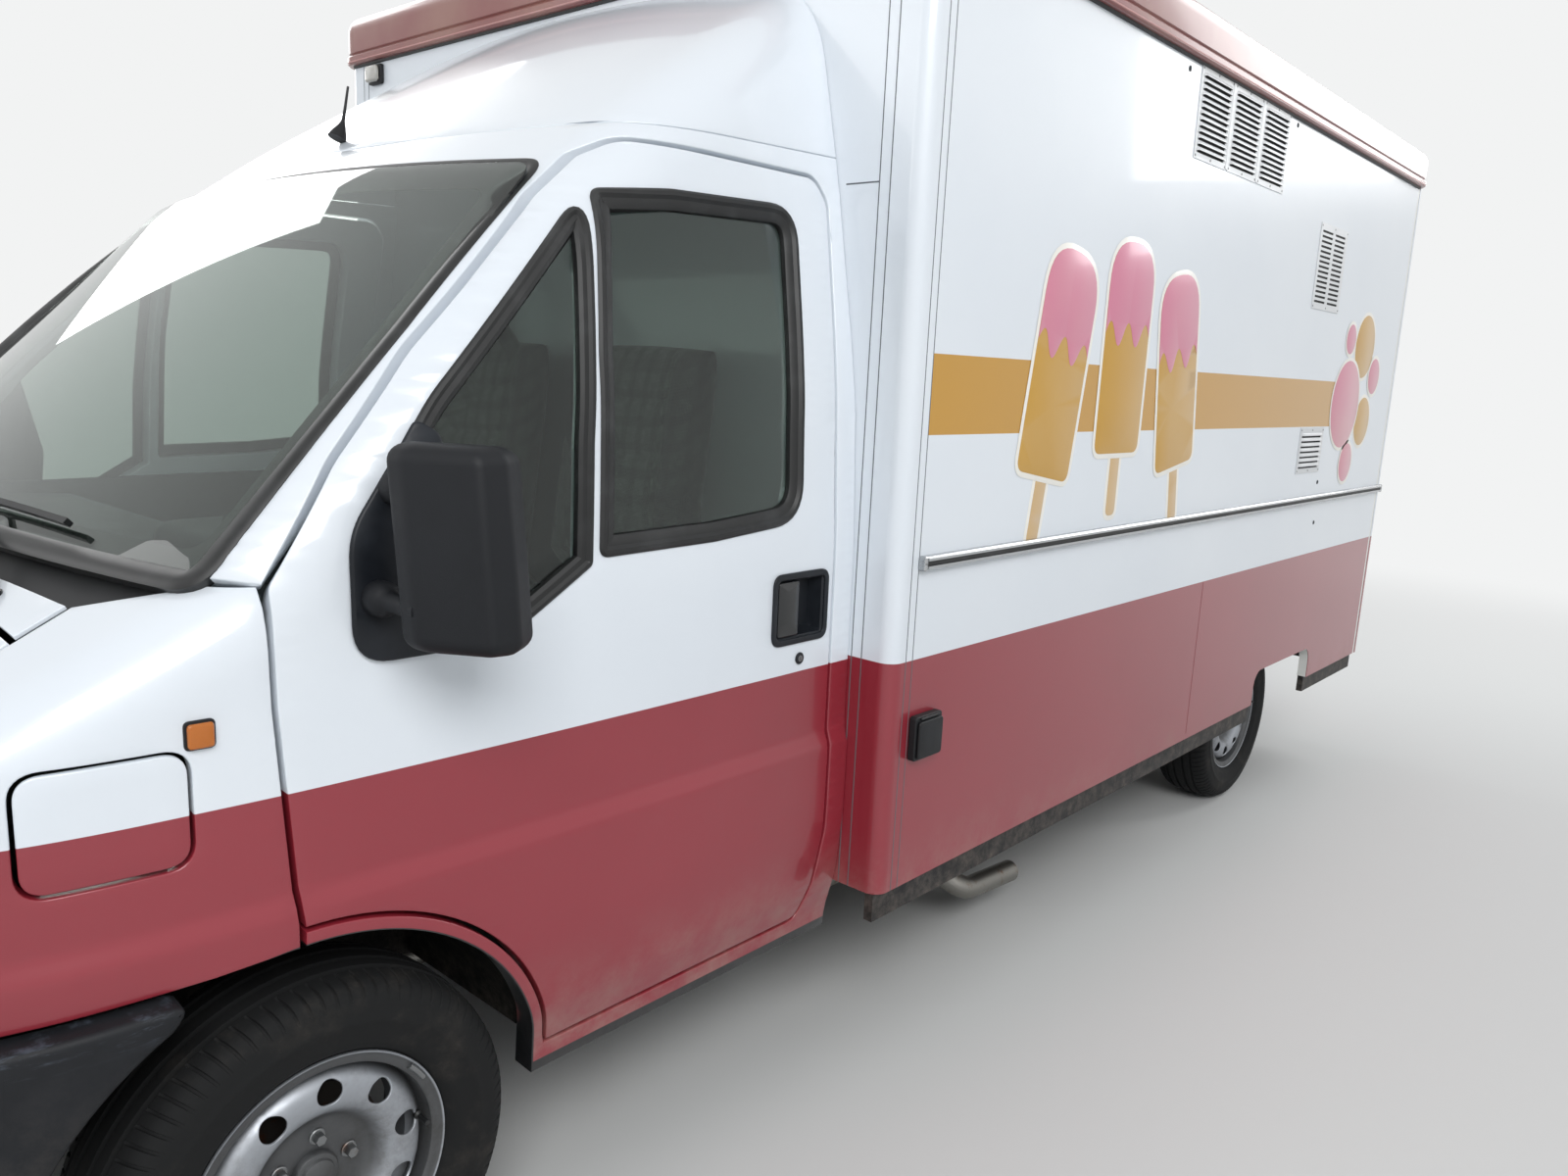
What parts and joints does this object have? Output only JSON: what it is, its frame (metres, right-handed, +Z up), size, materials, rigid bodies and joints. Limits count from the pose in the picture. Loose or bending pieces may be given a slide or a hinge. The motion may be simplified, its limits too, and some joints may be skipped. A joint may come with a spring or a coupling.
{
  "type": "ice cream truck",
  "caption": "Van-fronted truck with a cab and a tall box body for sales, side hatch with a fold-down counter, rear door, and steered front wheels.",
  "frame": {"origin": "on the ground, under the middle of the whole truck's length and width", "axes": "+X forward, +Y to the truck's left, +Z up"},
  "size_m": [5.67, 2.3722, 2.5719],
  "materials": {
    "white_paint": "gloss two-colour paint, white above and dusky red below",
    "red_trim": "gloss dusky red paint",
    "black_plastic": "grained",
    "chassis_paint": "satin black underbody paint",
    "window_glass": "tinted, clear",
    "tyre_rubber": "moulded",
    "wheel_silver": "silver paint, weathered",
    "bare_steel": "machined and weathered",
    "stainless": "brushed",
    "anodised": "satin anodised",
    "cast_iron": "as cast",
    "lamp_plastic": "clear and red lenses",
    "seat_cloth": "woven",
    "floor_board": "coated plywood",
    "dash_plastic": "grained"
  },
  "bodies": {
    "body": {"box_floor": "floor_board", "box_roof": "white_paint", "box_wall_front": "white_paint", "box_wall_left": "white_paint", "box_wall_rear": "white_paint", "box_wall_right": "white_paint", "cab_floor": "chassis_paint", "cab_frame": "white_paint", "chassis_bearers": "chassis_paint", "chassis_rails": "chassis_paint", "corner_profiles": "white_paint", "dashboard": "dash_plastic", "engine_block": "cast_iron", "exhaust": "bare_steel", "front_bumper": "black_plastic", "front_panel": "black_plastic", "front_suspension": "chassis_paint", "fuel_tank": "chassis_paint", "lamps": "lamp_plastic", "leaf_springs": "chassis_paint", "rear_axle": "chassis_paint", "rear_bumper": "chassis_paint", "roof_fairing": "white_paint", "roof_trim": "red_trim", "scuttle": "black_plastic", "seats": "seat_cloth", "side_rail": "stainless", "skirt_strips": "black_plastic", "socket_box": "black_plastic", "vents": "anodised", "windscreen": "window_glass", "wing_left": "white_paint", "wing_right": "white_paint"},
    "door_left": {"door_left": "white_paint", "door_glass_left": "window_glass", "mirror_left": "black_plastic"},
    "door_right": {"door_right": "white_paint", "door_glass_right": "window_glass", "mirror_right": "black_plastic"},
    "bonnet": {"bonnet": "white_paint"},
    "filler_flap": {"filler_flap": "white_paint"},
    "serving_hatch": {"serving_hatch": "white_paint"},
    "counter_flap": {"counter_flap": "stainless"},
    "rear_door": {"rear_door": "white_paint"},
    "steering_wheel": {"steering_wheel": "dash_plastic"},
    "knuckle_left": {"knuckle_left": "bare_steel"},
    "knuckle_right": {"knuckle_right": "bare_steel"},
    "wheel_front_left": {"tyre_front_left": "tyre_rubber", "rim_front_left": "wheel_silver"},
    "wheel_front_right": {"tyre_front_right": "tyre_rubber", "rim_front_right": "wheel_silver"},
    "wheel_rear_left": {"tyre_rear_left": "tyre_rubber", "rim_rear_left": "wheel_silver"},
    "wheel_rear_right": {"tyre_rear_right": "tyre_rubber", "rim_rear_right": "wheel_silver"}
  },
  "joints": [
    {"name": "wheel_front_left_spin", "type": "hinge", "parent": "knuckle_left", "child": "wheel_front_left", "pos_m": [1.91, 0.86, 0.33], "axis": [0, 1, 0], "continuous": true},
    {"name": "wheel_front_right_spin", "type": "hinge", "parent": "knuckle_right", "child": "wheel_front_right", "pos_m": [1.91, -0.86, 0.33], "axis": [0, 1, 0], "continuous": true},
    {"name": "wheel_rear_left_spin", "type": "hinge", "parent": "body", "child": "wheel_rear_left", "pos_m": [-1.79, 0.86, 0.33], "axis": [0, 1, 0], "continuous": true},
    {"name": "wheel_rear_right_spin", "type": "hinge", "parent": "body", "child": "wheel_rear_right", "pos_m": [-1.79, -0.86, 0.33], "axis": [0, 1, 0], "continuous": true},
    {"name": "steer_left", "type": "hinge", "parent": "body", "child": "knuckle_left", "pos_m": [1.91, 0.79, 0.222], "axis": [0, -0.2419, 0.9703], "range_deg": [-32, 32]},
    {"name": "steer_right", "type": "hinge", "parent": "body", "child": "knuckle_right", "pos_m": [1.91, -0.79, 0.222], "axis": [0, 0.2419, 0.9703], "range_deg": [-32, 32]},
    {"name": "steering_wheel_turn", "type": "hinge", "parent": "body", "child": "steering_wheel", "pos_m": [1.682, 0.43, 1.055], "axis": [-0.766, 0, 0.6428], "range_deg": [-580, 580]},
    {"name": "door_left_hinge", "type": "hinge", "parent": "body", "child": "door_left", "pos_m": [1.943, 0.963, 1], "axis": [0, 0, -1], "range_deg": [0, 70]},
    {"name": "door_right_hinge", "type": "hinge", "parent": "body", "child": "door_right", "pos_m": [1.943, -0.963, 1], "axis": [0, 0, 1], "range_deg": [0, 70]},
    {"name": "bonnet_hinge", "type": "hinge", "parent": "body", "child": "bonnet", "pos_m": [2.21, 0, 1.22], "axis": [0, -1, 0], "range_deg": [0, 60]},
    {"name": "filler_flap_hinge", "type": "hinge", "parent": "body", "child": "filler_flap", "pos_m": [2.271, 0.921, 0.985], "axis": [0, 0, -1], "range_deg": [0, 95]},
    {"name": "serving_hatch_hinge", "type": "hinge", "parent": "body", "child": "serving_hatch", "pos_m": [-0.92, -1.093, 2.17], "axis": [-1, 0, 0], "range_deg": [0, 95]},
    {"name": "counter_hinge", "type": "hinge", "parent": "body", "child": "counter_flap", "pos_m": [-0.92, -1.11, 1.215], "axis": [-1, 0, 0], "range_deg": [0, 90]},
    {"name": "rear_door_hinge", "type": "hinge", "parent": "body", "child": "rear_door", "pos_m": [-2.79, 0.404, 1.56], "axis": [0, 0, -1], "range_deg": [0, 110]}
  ],
  "couplings": [
    {"joint": "steer_right", "follows": "steer_left", "ratio": 1},
    {"joint": "steering_wheel_turn", "follows": "steer_left", "ratio": 18}
  ]
}
